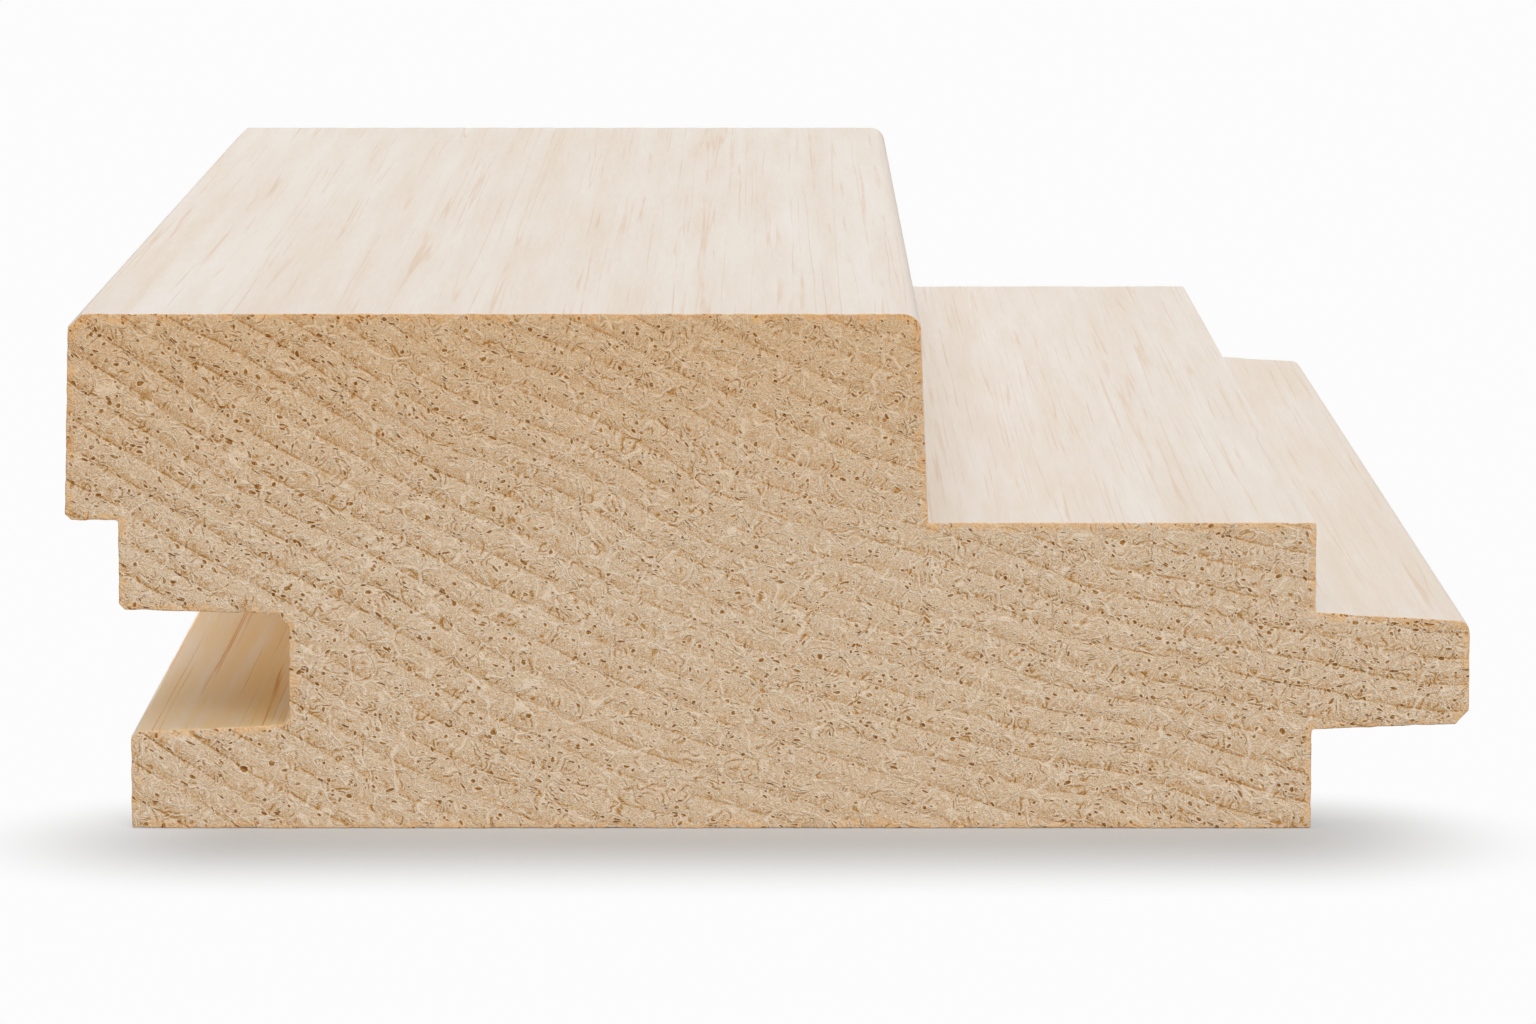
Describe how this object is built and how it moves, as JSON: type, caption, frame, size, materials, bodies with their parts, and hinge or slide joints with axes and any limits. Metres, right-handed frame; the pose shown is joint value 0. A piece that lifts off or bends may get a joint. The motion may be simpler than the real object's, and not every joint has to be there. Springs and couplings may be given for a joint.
{
  "type": "wood siding board",
  "caption": "Solid timber siding board with a raised weather face, a sunk ledge beside it, and a tongue and a groove along its edges.",
  "frame": {"origin": "middle of the underside, at the middle of the length", "axes": "+Y along the grain, away from the end that the picture shows; +X across the board, from the groove edge to the tongue edge; +Z from the back to the raised weather face"},
  "size_m": [0.115, 0.2, 0.0425],
  "materials": {
    "planed_hardwood": "planed, unfinished"
  },
  "bodies": {
    "root": {"siding_board": "planed_hardwood"}
  },
  "joints": []
}
